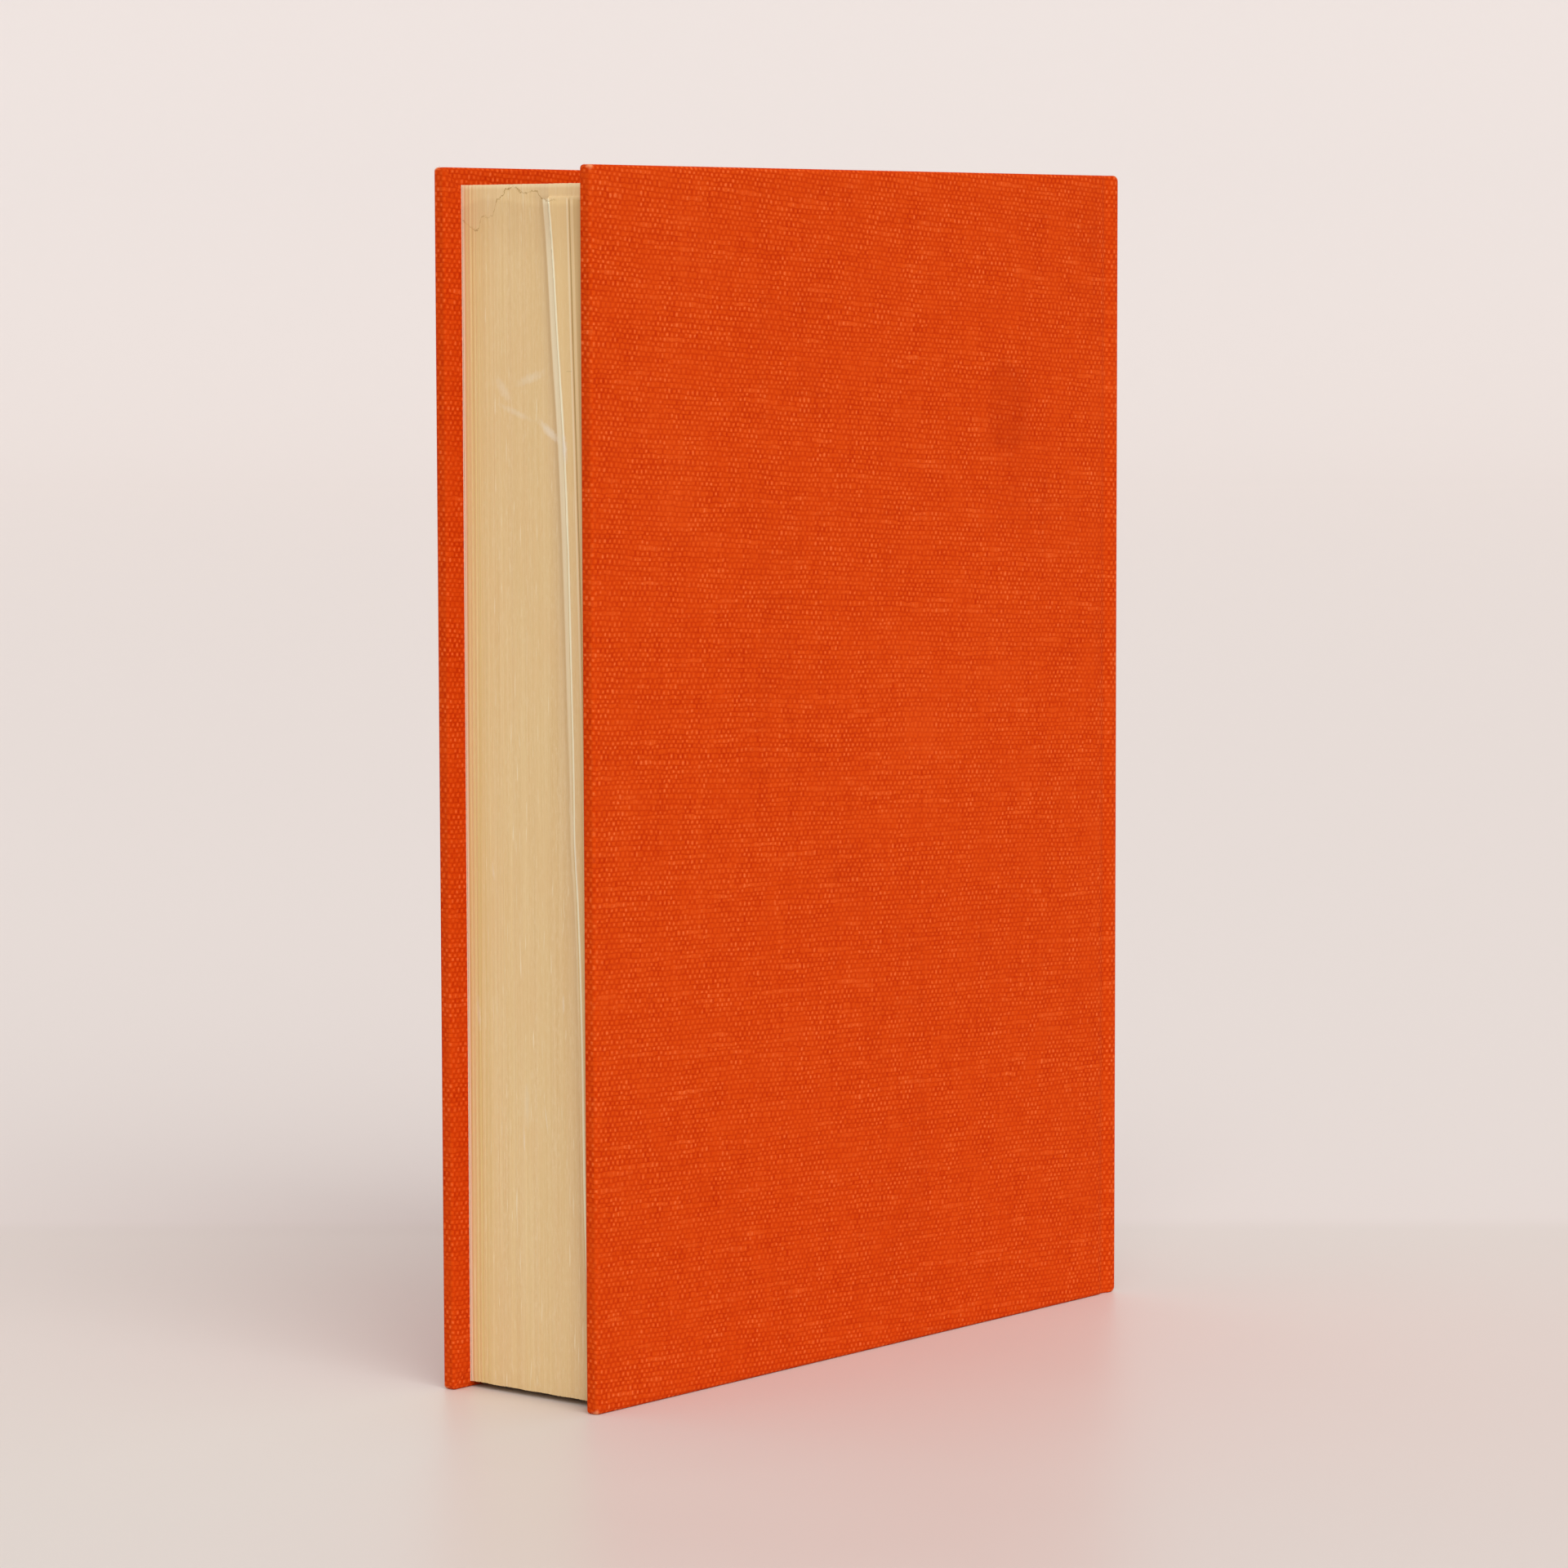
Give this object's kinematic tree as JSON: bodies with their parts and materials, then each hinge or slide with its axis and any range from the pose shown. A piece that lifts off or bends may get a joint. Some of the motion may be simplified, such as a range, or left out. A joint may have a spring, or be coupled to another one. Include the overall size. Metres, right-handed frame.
{
  "type": "reference book",
  "caption": "Cloth-covered case-bound book with a square back, standing on its tail edge; both covers open on cloth hinges along the spine.",
  "frame": {"origin": "middle of the footprint, on the surface that the book stands on", "axes": "+Z from tail to head, +X from spine to fore-edge, +Y towards the back cover"},
  "size_m": [0.1436, 0.035, 0.205],
  "materials": {
    "cover_cloth": "orange woven book cloth, matt",
    "pages": "aged cream-tan paper, cut edges",
    "endpaper": "aged cream paper, smooth",
    "band": "undyed cotton band",
    "gauze": "open cotton gauze",
    "lining_paper": "brown lining paper",
    "spine_card": "thin brown card",
    "board": "grey-brown binder's board"
  },
  "bodies": {
    "book_block": {"text_block": "pages", "front_flyleaf": "endpaper", "back_flyleaf": "endpaper", "headband": "band", "tailband": "band", "spine_gauze": "gauze", "spine_lining": "lining_paper", "spine_inlay": "spine_card", "spine_cloth": "cover_cloth"},
    "front_cover": {"front_board": "board", "front_cover_cloth": "cover_cloth", "front_gauze_flap": "gauze", "front_pastedown": "endpaper"},
    "back_cover": {"back_board": "board", "back_cover_cloth": "cover_cloth", "back_gauze_flap": "gauze", "back_pastedown": "endpaper"}
  },
  "joints": [
    {"name": "front_cover_hinge", "type": "hinge", "parent": "book_block", "child": "front_cover", "pos_m": [-0.0682, -0.0175, 0], "axis": [0, 0, -1], "range_deg": [0, 175]},
    {"name": "back_cover_hinge", "type": "hinge", "parent": "book_block", "child": "back_cover", "pos_m": [-0.0682, 0.0175, 0], "axis": [0, 0, 1], "range_deg": [0, 175]}
  ]
}
